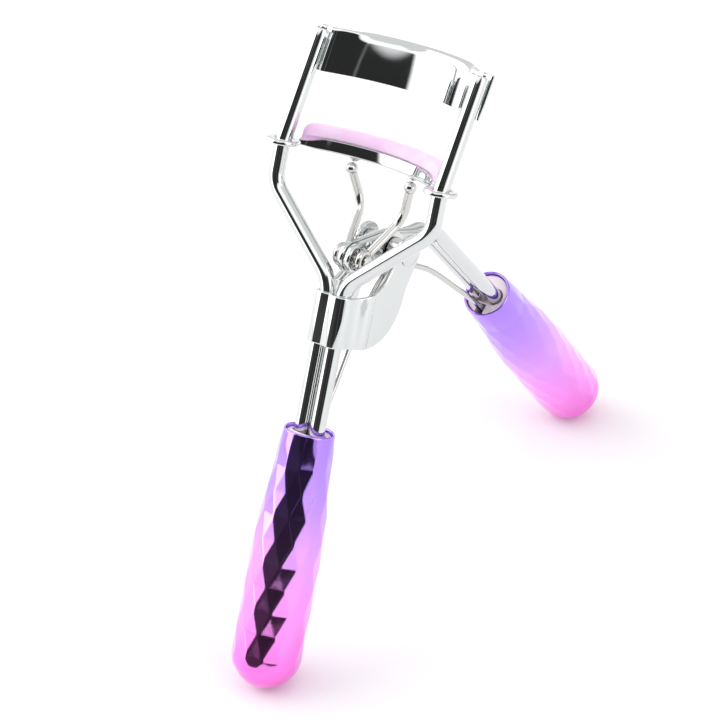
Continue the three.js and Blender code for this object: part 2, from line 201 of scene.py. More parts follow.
def join_solids(obj, *others):
    for other in others:
        boolean(obj, other, "UNION")
    return obj


def gathered(obj, *others):
    """Puts the other solids into the object's mesh as shells of their own."""
    bm = bmesh.new()
    bm.from_mesh(obj.data)
    for other in others:
        bm.from_mesh(other.data)
        bpy.data.objects.remove(other)
    bm.to_mesh(obj.data)
    bm.free()
    tidy_mesh(obj.data)
    return obj


def filleted(points, radii, step=math.radians(6), straight=1.5):
    """Points along straight runs whose corners are rounded by true arcs."""
    path = [points[0]]
    for i in range(1, len(points) - 1):
        into = (points[i - 1] - points[i]).normalized()
        out = (points[i + 1] - points[i]).normalized()
        half = into.angle(out) / 2
        reach = radii[i - 1] / math.tan(half)
        centre = points[i] + (into + out).normalized() * (radii[i - 1] / math.sin(half))
        start = points[i] + into * reach - centre
        turn = math.pi - 2 * half
        axis = start.cross(points[i] + out * reach - centre).normalized()
        count = max(3, math.ceil(turn / step))
        path += subdivided(path[-1], centre + start, straight)
        for k in range(1, count + 1):
            path.append(centre + Matrix.Rotation(turn * k / count, 3, axis) @ start)
    return path + subdivided(path[-1], points[-1], straight)


def subdivided(a, b, step):
    count = max(1, round((b - a).length / step))
    return [a.lerp(b, k / count) for k in range(1, count + 1)]


def smooth_curve(points):
    """Centripetal Catmull-Rom curve through the points."""
    ends = [2 * points[0] - points[1], *points, 2 * points[-1] - points[-2]]
    path = []
    for i in range(1, len(ends) - 2):
        p0, p1, p2, p3 = ends[i - 1:i + 3]
        t1 = (p1 - p0).length ** 0.5
        t2 = t1 + (p2 - p1).length ** 0.5
        t3 = t2 + (p3 - p2).length ** 0.5
        for k in range(SPAN_STEPS):
            t = t1 + (t2 - t1) * k / SPAN_STEPS
            a1 = p0.lerp(p1, t / t1)
            a2 = p1.lerp(p2, (t - t1) / (t2 - t1))
            a3 = p2.lerp(p3, (t - t2) / (t3 - t2))
            b1 = a1.lerp(a2, t / t2)
            b2 = a2.lerp(a3, (t - t1) / (t3 - t1))
            path.append(b1.lerp(b2, (t - t1) / (t2 - t1)))
    return path + [points[-1]]


def tube_rings(path, radius, sides, end_round, flatten=None):
    """Rings of points round a path, with rounded ends. flatten gives each point's own half sizes."""
    tangents = []
    for i, point in enumerate(path):
        before = path[max(i - 1, 0)]
        after = path[min(i + 1, len(path) - 1)]
        tangents.append((after - before).normalized())
    across = Vector((1, 0, 0))
    if abs(tangents[0].x) > 0.9:
        across = Vector((0, 0, 1))
    rings = []
    for i, point in enumerate(path):
        along = tangents[i]
        across = (across - along * across.dot(along)).normalized()
        up = along.cross(across)
        half_a, half_b = flatten(i, point) if flatten else (radius, radius)
        rings.append((point, along, across, up, half_a, half_b))
    first, last = rings[0], rings[-1]
    steps = 4
    start, end = [], []
    for k in range(steps):
        angle = math.pi / 2 * (1 - k / steps)
        inset = end_round * (1 - math.cos(angle))
        push = end_round * (math.sin(angle) - 1)
        for ring, way, target in ((first, -1, start), (last, 1, end)):
            point, along, across, up, half_a, half_b = ring
            target.append((point + along * way * push, along, across, up, half_a - inset, half_b - inset))
    trimmed_first = (first[0] + first[1] * end_round, *first[1:])
    trimmed_last = (last[0] - last[1] * end_round, *last[1:])
    ordered = start + [trimmed_first] + rings[1:-1] + [trimmed_last] + end[::-1]
    points = []
    for point, along, across, up, half_a, half_b in ordered:
        for k in range(sides):
            angle = 2 * math.pi * k / sides
            points.append(point + across * half_a * math.cos(angle) + up * half_b * math.sin(angle))
    return points, len(ordered)


def tube(name, path, radius, place, sides=32, end_round=None, flatten=None):
    end_round = 0.3 * radius if end_round is None else end_round
    points, rings = tube_rings(path, radius, sides, end_round, flatten)
    return mesh_object(name, points, grid_faces(rings, sides), place)


def lathe(name, profile, place, sides=48):
    """Turns (radius, height) points round local Z. The profile starts and ends on the axis or closes."""
    points = []
    for radius, height in profile:
        for k in range(sides):
            angle = 2 * math.pi * k / sides
            points.append((radius * math.cos(angle), radius * math.sin(angle), height))
    closed = profile[0][0] > 0
    return mesh_object(name, points, grid_faces(len(profile), sides, close_rings=closed), place)


def rounded_rectangle(width, height, radius, corner_steps=5, centre=(0, 0)):
    """Outline points of a rectangle with rounded corners, anticlockwise."""
    outline = []
    for quarter, (sx, sy) in enumerate(((1, 1), (-1, 1), (-1, -1), (1, -1))):
        cx = centre[0] + sx * (width / 2 - radius)
        cy = centre[1] + sy * (height / 2 - radius)
        for k in range(corner_steps + 1):
            angle = math.pi / 2 * (quarter + k / corner_steps)
            outline.append((cx + radius * math.cos(angle), cy + radius * math.sin(angle)))
    return outline


def strip(name, path, outline_at, place, closed=False):
    """Sweeps an outline along a path in the local XY plane. outline_at(i) gives station i's outline as
    (across, up) points, across being to the left of travel."""
    points = []
    count = len(path)
    for i, here in enumerate(path):
        if closed:
            before, after = path[i - 1], path[(i + 1) % count]
        else:
            before, after = path[max(i - 1, 0)], path[min(i + 1, count - 1)]
        along = (after - before).normalized()
        across = Vector((-along.y, along.x, 0))
        points += [here + across * a + Vector((0, 0, b)) for a, b in outline_at(i)]
    sides = len(points) // count
    return mesh_object(name, points, grid_faces(count, sides, close_rings=closed), place)


def scaled(outline, wide, tall, level):
    """The outline scaled across and up, with the given height staying in place."""
    return [(a * wide, level + (b - level) * tall) for a, b in outline]


def arc_points(centre, radius, start, end, step=math.radians(4)):
    """Points of an arc in the XY plane, angles in radians."""
    count = max(2, math.ceil(abs(end - start) / step))
    return [centre + Vector((radius * math.cos(start + (end - start) * k / count),
                             radius * math.sin(start + (end - start) * k / count), 0))
            for k in range(count + 1)]


def bezier_points(p0, p1, p2, p3, count=10):
    points = []
    for k in range(1, count):
        t = k / count
        near = p0 * (1 - t) ** 3 + p1 * 3 * t * (1 - t) ** 2
        points.append(near + p2 * 3 * t * t * (1 - t) + p3 * t ** 3)
    return points


def plate(name, outlines, from_x, to_x, place, edge=0.14):
    """A flat plate in the local YZ plane from closed outlines of (y, z), the later ones holes,
    with eased edges."""
    curve = bpy.data.curves.new(name, "CURVE")
    curve.dimensions = "2D"
    curve.fill_mode = "BOTH"
    half = (to_x - from_x) / 2
    curve.extrude = (half - edge) * MM
    curve.bevel_depth = edge * MM
    curve.bevel_resolution = 2
    curve.offset = -edge * MM
    for outline in outlines:
        spline = curve.splines.new("POLY")
        spline.points.add(len(outline) - 1)
        for point, (y, z) in zip(spline.points, outline):
            point.co = (y * MM, z * MM, 0, 1)
        spline.use_cyclic_u = True
    flat = bpy.data.objects.new(name + "_outline", curve)
    bpy.context.scene.collection.objects.link(flat)
    bpy.context.view_layer.update()
    evaluated = flat.evaluated_get(bpy.context.evaluated_depsgraph_get())
    mesh = bpy.data.meshes.new_from_object(evaluated)
    bpy.data.objects.remove(flat)
    stand = Matrix(((0, 0, 1, 0), (1, 0, 0, 0), (0, 1, 0, 0), (0, 0, 0, 1)))
    shift = Matrix.Translation(((from_x + to_x) / 2 * MM, 0, 0))
    in_metres = Matrix.Translation(place.translation * MM) @ place.to_3x3().to_4x4()
    mesh.transform(in_metres @ shift @ stand)
    tidy_mesh(mesh)
    return new_object(name, mesh)


# ---- materials ----
def new_material(name):
    material = bpy.data.materials.new(name)
    material.use_nodes = True
    nodes = material.node_tree.nodes
    return material, nodes, material.node_tree.links, nodes["Principled BSDF"]


def fine_noise(nodes, links, scale, detail=3):
    """Noise in the object's own space. The scale is in features per metre."""
    coordinates = nodes.new("ShaderNodeTexCoord")
    noise = nodes.new("ShaderNodeTexNoise")
    noise.inputs["Scale"].default_value = scale
    noise.inputs["Detail"].default_value = detail
    links.new(coordinates.outputs["Object"], noise.inputs["Vector"])
    return noise.outputs["Fac"]


def ranged(nodes, links, value, low, high):
    span = nodes.new("ShaderNodeMapRange")
    span.inputs["From Min"].default_value = 0.3
    span.inputs["From Max"].default_value = 0.7
    span.inputs["To Min"].default_value = low
    span.inputs["To Max"].default_value = high
    links.new(value, span.inputs["Value"])
    return span.outputs["Result"]


def add_bump(nodes, links, shader, value, strength, distance):
    bump = nodes.new("ShaderNodeBump")
    bump.inputs["Strength"].default_value = strength
    bump.inputs["Distance"].default_value = distance
    links.new(value, bump.inputs["Height"])
    links.new(bump.outputs["Normal"], shader.inputs["Normal"])


def chrome_material():
    material, nodes, links, shader = new_material("chrome_plate")
    shader.inputs["Base Color"].default_value = (0.695, 0.715, 0.715, 1)
    shader.inputs["Metallic"].default_value = 1
    links.new(ranged(nodes, links, fine_noise(nodes, links, 260), 0.03, 0.075), shader.inputs["Roughness"])
    add_bump(nodes, links, shader, fine_noise(nodes, links, 420, 2), 0.05, 0.00004)
    return material


def wire_material():
    material, nodes, links, shader = new_material("bright_wire")
    shader.inputs["Base Color"].default_value = (0.64, 0.63, 0.615, 1)
    shader.inputs["Metallic"].default_value = 1
    links.new(ranged(nodes, links, fine_noise(nodes, links, 900), 0.1, 0.2), shader.inputs["Roughness"])
    add_bump(nodes, links, shader, fine_noise(nodes, links, 1500, 2), 0.08, 0.00003)
    return material


def plating_material():
    """Metallised plastic that runs from violet at the mouth to hot pink at the round end."""
    material, nodes, links, shader = new_material("violet_pink_plating")
    along = nodes.new("ShaderNodeAttribute")
    along.attribute_name = "along"
    wander = ranged(nodes, links, fine_noise(nodes, links, 90), -0.02, 0.02)
    total = nodes.new("ShaderNodeMath")
    total.operation = "ADD"
    links.new(along.outputs["Fac"], total.inputs[0])
    links.new(wander, total.inputs[1])
    ramp = nodes.new("ShaderNodeValToRGB")
    stops = ((0.0, (0.42, 0.23, 0.92)), (0.22, (0.50, 0.27, 0.97)), (0.45, (0.78, 0.35, 0.97)),
             (0.72, (1.0, 0.30, 0.93)), (1.0, (1.0, 0.16, 0.72)))
    elements = ramp.color_ramp.elements
    while len(elements) < len(stops):
        elements.new(0.5)
    for element, (position, colour) in zip(elements, stops):
        element.position = position
        element.color = (*colour, 1)
    links.new(total.outputs["Value"], ramp.inputs["Fac"])
    links.new(ramp.outputs["Color"], shader.inputs["Base Color"])
    shader.inputs["Metallic"].default_value = 1
    shader.inputs["Coat Weight"].default_value = 0.6
    shader.inputs["Coat Roughness"].default_value = 0.03
    links.new(ranged(nodes, links, fine_noise(nodes, links, 500), 0.06, 0.13), shader.inputs["Roughness"])
    add_bump(nodes, links, shader, fine_noise(nodes, links, 350, 2), 0.06, 0.00006)
    return material


def silicone_material():
    material, nodes, links, shader = new_material("pink_silicone")
    tint = nodes.new("ShaderNodeMix")
    tint.data_type = "RGBA"
    tint.inputs["A"].default_value = (0.96, 0.62, 0.90, 1)
    tint.inputs["B"].default_value = (0.98, 0.72, 0.95, 1)
    links.new(ranged(nodes, links, fine_noise(nodes, links, 300), 0, 1), tint.inputs["Factor"])
    links.new(tint.outputs["Result"], shader.inputs["Base Color"])
    shader.inputs["Subsurface Weight"].default_value = 0.7
    shader.inputs["Subsurface Radius"].default_value = (1.0, 0.55, 0.9)
    shader.inputs["Subsurface Scale"].default_value = 0.0015
    shader.inputs["Roughness"].default_value = 0.38
    add_bump(nodes, links, shader, fine_noise(nodes, links, 1200, 2), 0.08, 0.00004)
    return material


def plug_material():
    material, nodes, links, shader = new_material("pale_plug_plastic")
    tint = nodes.new("ShaderNodeMix")
    tint.data_type = "RGBA"
    tint.inputs["A"].default_value = (0.80, 0.68, 0.76, 1)
    tint.inputs["B"].default_value = (0.86, 0.75, 0.82, 1)
    links.new(ranged(nodes, links, fine_noise(nodes, links, 400), 0, 1), tint.inputs["Factor"])
    links.new(tint.outputs["Result"], shader.inputs["Base Color"])
    shader.inputs["Roughness"].default_value = 0.32
    add_bump(nodes, links, shader, fine_noise(nodes, links, 1600, 2), 0.1, 0.00005)
    return material


CHROME = chrome_material()
WIRE = wire_material()
PLATING = plating_material()
SILICONE = silicone_material()
PLUG = plug_material()


def finish_piece(obj, material, body, *nodes):
    obj.data.materials.clear()
    obj.data.materials.append(material)
    if body:
        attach(obj, body)
    if nodes:
        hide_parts(*nodes)
    return obj


# ---- handles ----
def facet_radius(angle, depth):
    """Radius of the diamond-faceted surface: each row of corners is turned half a side from the last."""
    step = 2 * math.pi / FACET_SIDES
    row = (depth - FACET_START) / FACET_PITCH
    lower = min(max(math.floor(row), -1), FACET_ROWS)
    fraction = min(max(row - lower, 0), 1)
    radii = [corner_radius(FACET_START + (lower + k) * FACET_PITCH) for k in (0, 1)]
    offset = ((lower + 1) % 2) * step / 2
    nearest = []
    for k in range(-2, 3):
        base = math.floor((angle - offset) / step) * step + offset + k * step
        for way in (-0.5, 0.5):
            low = (radii[0] * math.cos(base), radii[0] * math.sin(base))
            high_angle = base + way * step
            high = (radii[1] * math.cos(high_angle), radii[1] * math.sin(high_angle))
            x = low[0] + (high[0] - low[0]) * fraction
            y = low[1] + (high[1] - low[1]) * fraction
            nearest.append((math.atan2(y, x), x, y))
    best = None
    for first, second in zip(nearest, nearest[1:]):
        hit = ray_hit(angle, first[1:], second[1:])
        if hit:
            best = hit if best is None else max(best, hit)
    return best


def ray_hit(angle, a, b):
    """Distance from the axis, at an angle, to the segment from a to b, or None if it misses."""
    dx, dy = math.cos(angle), math.sin(angle)
    ex, ey = b[0] - a[0], b[1] - a[1]
    determinant = ex * dy - ey * dx
    if abs(determinant) < 1e-9:
        return None
    distance = (ex * a[1] - ey * a[0]) / determinant
    share = (dx * a[1] - dy * a[0]) / determinant
    if -1e-6 <= share <= 1 + 1e-6 and distance > 0:
        return distance
    return None


def neck_share(depth):
    """How far the handle has swelled from its mouth radius to its full one: slow, quick, then slow."""
    share = min(1, max(0, depth) / TAPER_LENGTH)
    return 0.45 * share + 0.55 * share * share * (3 - 2 * share)


def corner_radius(depth):
    full = HANDLE_RADIUS / math.cos(math.pi / FACET_SIDES)
    return MOUTH_RADIUS + (full - MOUTH_RADIUS) * neck_share(depth)


def handle_shell(name, place):
    sides = 144
    lip = 0.35
    rings = []
    for depth in (26, 18, 10, 4, lip):
        rings.append([(MOUTH_BORE_RADIUS, -depth)] * sides)
    for k in range(7):
        angle = math.pi * (1 - k / 6)
        middle = (MOUTH_BORE_RADIUS + MOUTH_RADIUS) / 2
        half = (MOUTH_RADIUS - MOUTH_BORE_RADIUS) / 2
        rings.append([(middle + half * math.cos(angle), -lip + lip * math.sin(angle))] * sides)
    last_facet = FACET_START + FACET_ROWS * FACET_PITCH
    depth = 0.8
    while depth < HANDLE_CORE + 2.6:
        fade = min(1, max(0, (depth - 0.8) / 4)) * min(1, max(0, (last_facet + 3.6 - depth) / 3))
        ring = []
        for k in range(sides):
            angle = 2 * math.pi * k / sides
            round_radius = smooth_radius(depth)
            ring.append((round_radius + (facet_radius(angle, depth) - round_radius) * fade, -depth))
        rings.append(ring)
        depth += FACET_PITCH / 12
    for k in range(1, 15):
        angle = math.asin(2.7 / HANDLE_RADIUS) + (math.pi / 2 - math.asin(2.7 / HANDLE_RADIUS)) * k / 15
        rings.append([(HANDLE_RADIUS * math.cos(angle), -HANDLE_CORE - HANDLE_RADIUS * math.sin(angle))]
                     * sides)
    points = []
    for ring in rings:
        for k, (radius, height) in enumerate(ring):
            angle = 2 * math.pi * k / sides
            points.append((radius * math.cos(angle), radius * math.sin(angle), height))
    obj = mesh_object(name, points, grid_faces(len(rings), sides), place)
    store_along(obj, place)
    return obj


def smooth_radius(depth):
    """Radius of the round handle body without facets, down into its round end."""
    if depth > HANDLE_CORE:
        return math.sqrt(HANDLE_RADIUS ** 2 - (depth - HANDLE_CORE) ** 2)
    return MOUTH_RADIUS + (HANDLE_RADIUS - MOUTH_RADIUS) * neck_share(depth)


def store_along(obj, place):
    """Stores how far each point is from the mouth towards the round end, for the colour run."""
    mouth = place.translation
    axis = place.to_3x3() @ Vector((0, 0, -1))
    total = HANDLE_CORE + HANDLE_RADIUS
    values = [(v.co / MM - mouth).dot(axis) / total for v in obj.data.vertices]
    attribute = obj.data.attributes.new("along", "FLOAT", "POINT")
    attribute.data.foreach_set("value", np.array(values, np.float32))


def handle_plug(name, place, spring_side):
    top = -PLUG_RECESS
    radius = MOUTH_BORE_RADIUS - 0.08
    profile = [(0, top - PLUG_DEPTH), (radius, top - PLUG_DEPTH), (radius, top - 0.3),
               (radius - 0.09, top - 0.09), (radius - 0.3, top), (0, top)]
    plug = lathe(name, profile, place)
    notch_half = SPRING_RADIUS + 0.3
    notch = strip("notch", [Vector((0, spring_side * (SPRING_OFFSET - notch_half), 0)),
                            Vector((0, spring_side * (MOUTH_BORE_RADIUS + 1), 0))],
                  lambda i: rounded_rectangle(2 * notch_half, 12, 0.3, centre=(0, -4)), place)
    boolean(plug, notch, "DIFFERENCE")
    pocket = strip("pocket", [Vector((-SHANK_X, 0, 0)), Vector((SHANK_X, 0, 0))],
                   lambda i: rounded_rectangle(2 * ROD_RADIUS + 0.5, 2, 0.05, centre=(0, top)), place)
    for side in (-1, 1):
        around = Matrix.Translation((side * SHANK_X, 0, 0))
        half = ROD_RADIUS + 0.25
        boolean(plug, lathe("pocket_end", [(0, top - 1), (half, top - 1), (half, top + 1), (0, top + 1)],
                            place @ around), "DIFFERENCE")
    return boolean(plug, pocket, "DIFFERENCE")


def add_handles():
    finish_piece(handle_shell("front_handle_plated", FRONT), PLATING, "frame", "front_handle_shell")
    finish_piece(handle_shell("rear_handle_plated", REAR), PLATING, "lever", "rear_handle_shell")
    finish_piece(handle_plug("front_mouth_plug", FRONT, 1), PLUG, "frame", "front_handle_plug")
    finish_piece(handle_plug("rear_mouth_plug", REAR, -1), PLUG, "lever", "rear_handle_plug")


# ---- front arm ----
def add_frame_rods():
    up = Vector((0, math.sin(CAGE_BEND), math.cos(CAGE_BEND)))
    for name, side in (("left", -1), ("right", 1)):
        bend = Vector((side * CAGE_X, 0, BEND_S))
        path = filleted([
            Vector((side * SHANK_X, 0, -ROD_DEPTH)),
            Vector((side * SHANK_X, 0, NECK_S)),
            Vector((side * CAGE_X, 0, SHOULDER_S)),
            bend,
            bend + up * CAGE_HEIGHT,
        ], [6, 4.5, 6])
        rod = tube(f"{name}_cage_rod", path, ROD_RADIUS, FRONT, sides=40, end_round=0.35)
        finish_piece(rod, CHROME, "frame", f"{name}_frame_rod")


def jaw_depth(x):
    return JAW_SAG - JAW_RADIUS + math.sqrt(JAW_RADIUS ** 2 - x ** 2)


def jaw_arc(end_x, step=math.radians(1.6)):
    """The jaw curve from left to right, in the local XY plane."""
    centre = Vector((0, JAW_SAG - JAW_RADIUS, 0))
    reach = math.asin(end_x / JAW_RADIUS)
    return arc_points(centre, JAW_RADIUS, math.pi / 2 + reach, math.pi / 2 - reach, step)


def upper_jaw_path():
    """The jaw curve, then an S bend behind each rod and a wrap round its back and outer side."""
    arc = jaw_arc(13.2)
    wrap_radius = ROD_RADIUS + 0.05 + UPPER_THICKNESS / 2
    first, last = math.radians(105), math.radians(20)
    wrap = arc_points(Vector((CAGE_X, 0, 0)), wrap_radius, first, last, math.radians(6))
    heading = (arc[-1] - arc[-2]).normalized()
    turned = Vector((math.sin(first), -math.cos(first), 0))
    right = bezier_points(arc[-1], arc[-1] + heading * 0.9, wrap[0] - turned * 0.9, wrap[0]) + wrap
    left = [Vector((-p.x, p.y, 0)) for p in reversed(right)]
    return left + arc + right


def upper_jaw_outline(lip, thickness):
    """Section of the upper jaw sheet. lip is how far its top edge rolls back."""
    half = thickness / 2
    roll_from = UPPER_TOP - 1.6
    spine = [(0, UPPER_BOTTOM), (0, (UPPER_BOTTOM + roll_from) / 2), (0, roll_from)]
    for k in range(1, 7):
        share = k / 6
        spine.append((lip * share ** 2, roll_from + (UPPER_TOP - roll_from) * share))
    front, back = [], []
    for i, (a, b) in enumerate(spine):
        before, after = spine[max(i - 1, 0)], spine[min(i + 1, len(spine) - 1)]
        length = math.hypot(after[0] - before[0], after[1] - before[1])
        na, nb = (after[1] - before[1]) / length, -(after[0] - before[0]) / length
        thin = half - (0.12 if i in (0, len(spine) - 1) else 0)
        front.append((a - na * thin, b - nb * thin))
        back.append((a + na * thin, b + nb * thin))
    return front + back[::-1]


def add_upper_jaw():
    path = upper_jaw_path()

    def outline_at(i):
        share = min(1, max(0, (12.6 - abs(path[i].x)) / 3))
        near_end = min(i, len(path) - 1 - i)
        thickness = UPPER_THICKNESS * (0.45, 0.85, 1)[min(near_end, 2)]
        return upper_jaw_outline(UPPER_LIP * share * share * (3 - 2 * share), thickness)

    jaw = strip("upper_jaw_sheet", path, outline_at, JAWS)
    finish_piece(jaw, CHROME, "frame", "upper_jaw")


def ear_outline():
    """Outline of a bracket ear as (p, s) points, p back from the shank and s up it."""
    lower = [Vector((4.4, BRACKET_BOTTOM, 0)), Vector((4.5, BRACKET_BOTTOM, 0))]
    lower += bezier_points(lower[-1], Vector((9, BRACKET_BOTTOM + 0.2, 0)),
                           Vector((12.3, 18, 0)), Vector((12.7, 23.5, 0)), 24)
    lower += [Vector((12.7, 23.5, 0))]
    shoulder = math.radians(-12)
    over = arc_points(Vector((PIVOT_P, PIVOT_S, 0)), EAR_RADIUS, shoulder, math.pi)
    hollow = bezier_points(lower[-1], Vector((12.9, 25.6, 0)),
                           over[0] - Vector((0.3, 1.6, 0)), over[0], 8)
    scoop = bezier_points(over[-1], Vector((8.2, 27.6, 0)),
                          Vector((6.8, 24.8, 0)), Vector((4.6, 24.2, 0)), 20)
    return lower + hollow + over + scoop + [Vector((4.6, 24.2, 0)), Vector((4.4, 24.1, 0))]


def band_path():
    """Middle line of the bracket sheet seen along the shank: ear, fold, pinch behind the rods,
    and a lobe round each rod with a shallow valley between them."""
    ear_x = (EAR_INNER_X + EAR_OUTER_X) / 2
    ear = [Vector((ear_x, 5.4, 0)), Vector((ear_x, 4.9, 0))]
    lobe = arc_points(Vector((SHANK_X, 0, 0)), BAND_RADIUS, 0, math.radians(-98), math.radians(6))
    crest = Vector((FOLD_X, 3.9, 0))
    fold = bezier_points(ear[-1], ear[-1] + Vector((0, -0.3, 0)), crest + Vector((0, 0.4, 0)), crest, 6)
    pinch = bezier_points(crest, crest + Vector((0, -1.3, 0)),
                          lobe[0] + Vector((-0.15, 2.3, 0)), lobe[0], 14)
    right = ear + fold + [crest] + pinch + lobe
    valley_y = -BAND_RADIUS + 0.3
    right += bezier_points(lobe[-1], lobe[-1] + Vector((-0.5, 0.05, 0)), Vector((0.45, valley_y, 0)),
                           Vector((0, valley_y, 0)), 8)
    left = [Vector((-p.x, p.y, 0)) for p in reversed(right)]
    return right + [Vector((0, valley_y, 0))] + left


def add_bracket():
    path = band_path()
    ear_top = 24.1

    def outline_at(i):
        rise = min(1, max(0, (path[i].y - 1.6) / 2.8))
        top = BRACKET_TOP + (ear_top - BRACKET_TOP) * rise * rise * (3 - 2 * rise)
        share = min(1, max(0, (path[i].y - 1.2) / 2))
        width = BAND_SHEET + (SHEET - 0.1 - BAND_SHEET) * share
        middle = (top + BRACKET_BOTTOM) / 2
        return rounded_rectangle(width, top - BRACKET_BOTTOM, 0.2, 4, centre=(0, middle))

    bracket = strip("bracket_sheet", path, outline_at, FRONT)
    outline = [(p.x, p.y) for p in ear_outline()]
    ears = [plate("ear", [outline], low, low + SHEET, FRONT, edge=0.2)
            for low in (EAR_INNER_X, -EAR_OUTER_X)]
    finish_piece(gathered(bracket, *ears), CHROME, "frame", "bracket")


def across_place(centre):
    """A local frame at a point, with local Z along the row's X."""
    return Matrix.Translation(centre) @ Matrix.Rotation(math.pi / 2, 4, "Y")


def headed_pin(name, centre, radius, head_radius, head, half_gap):
    """A pin along X with a domed head outside each face at half_gap."""
    side = []
    for k in range(7):
        angle = math.pi / 2 * k / 6
        side.append((head_radius * math.sin(angle), half_gap + head * (0.25 + 0.75 * math.cos(angle))))
    profile = side + [(head_radius - 0.12, half_gap), (radius, half_gap)]
    full = profile + [(r, -h) for r, h in reversed(profile)]
    return lathe(name, full, across_place(centre))


def add_pivot():
    rivet = headed_pin("pivot_rivet_domed", PIVOT, RIVET_RADIUS, RIVET_HEAD_RADIUS, RIVET_HEAD,
                       EAR_OUTER_X + 0.05)
    finish_piece(rivet, CHROME, "frame", "pivot_rivet")
    near, far = EYE_OUTER_X + 0.15, EAR_INNER_X - 0.1
    outer, inner, ease = 2.1, RIVET_RADIUS + 0.1, 0.15
    for name, side in (("left", -1), ("right", 1)):
        low, high = sorted((side * near, side * far))
        profile = [(inner, low), (outer - ease, low), (outer, low + ease), (outer, high - ease),
                   (outer - ease, high), (inner, high)]
        spacer = lathe(f"{name}_spacer_turned", profile, across_place(PIVOT))
        finish_piece(spacer, WIRE, "frame", f"{name}_pivot_spacer")


# ---- lower jaw ----
def channel_profile():
    """U section of the lower jaw, open at the top, as (across, up) points."""
    half, groove = CHANNEL_WIDTH / 2, GROOVE_WIDTH / 2
    low, high = CHANNEL_BOTTOM, CHANNEL_TOP
    floor = CHANNEL_TOP - GROOVE_DEPTH
    corner, lip = 0.5, 0.12
    outline = []
    for k in range(6):
        angle = -math.pi / 2 + math.pi / 2 * k / 5
        outline.append((half - corner + corner * math.cos(angle), low + corner + corner * math.sin(angle)))
    outline += [(half, high - lip), (half - lip, high), (groove + lip, high), (groove, high - lip)]
    outline += [(groove, floor)]
    return outline + [(-a, b) for a, b in reversed(outline)]


def add_lower_jaw():
    path = jaw_arc(14.3)
    count = len(path)
    taper = 8
    level = CHANNEL_BOTTOM + LUG_THICKNESS / 2
    section = channel_profile()

    def outline_at(i):
        near = min(1, min(i, count - 1 - i) / taper)
        ease = near * near * (3 - 2 * near)
        pinned = level + (CHANNEL_BOTTOM - level) * ease
        return scaled(section, 0.55 + 0.45 * ease, 0.42 + 0.58 * ease, pinned)

    channel = strip("lower_jaw_pressing", path, outline_at, JAWS)
    ring_width = LUG_RADIUS - ROD_RADIUS - 0.2
    ring_section = rounded_rectangle(ring_width, LUG_THICKNESS, 0.3, 4, centre=(0, level))
    lugs = []
    for side in (-1, 1):
        ring_path = arc_points(Vector((side * CAGE_X, 0, 0)), (LUG_RADIUS + ROD_RADIUS + 0.2) / 2,
                               0, 2 * math.pi, math.radians(7.5))[:-1]
        lugs.append(strip("lug", ring_path, lambda i: ring_section, JAWS, closed=True))
    finish_piece(join_solids(channel, *lugs), CHROME, "lower_jaw", "lower_jaw_channel")


def add_pad():
    path = jaw_arc(PAD_END_X, math.radians(1.2))
    count = len(path)
    floor = CHANNEL_TOP - GROOVE_DEPTH + 0.1
    tongue = GROOVE_WIDTH / 2 - 0.12
    half = PAD_WIDTH / 2
    section = [(tongue, floor), (tongue, CHANNEL_TOP + 0.02), (half, CHANNEL_TOP + 0.14)]
    crown = 0.95
    for k in range(8):
        angle = math.pi / 2 * k / 7
        section.append((half - crown + crown * math.cos(angle), PAD_TOP - crown + crown * math.sin(angle)))
    section += [(-a, b) for a, b in reversed(section)]
    rounding = 5

    def outline_at(i):
        near = min(1, min(i, count - 1 - i) / rounding)
        ease = math.sqrt(1 - (1 - near) ** 2)
        return scaled(section, 0.45 + 0.55 * ease, 0.7 + 0.3 * ease, floor)

    pad = strip("lash_pad_silicone", path, outline_at, JAWS)
    finish_piece(pad, SILICONE, "lower_jaw", "lash_pad")


# ---- links ----
def link_ball(side):
    depth = jaw_depth(LINK_TOP_X)
    underside = CHANNEL_BOTTOM + depth * math.tan(CAGE_BEND)
    drop = BOSS_HEIGHT + BALL_GAP + LINK_BALL_RADIUS
    return CAGE @ Vector((side * LINK_TOP_X, depth, underside - drop))


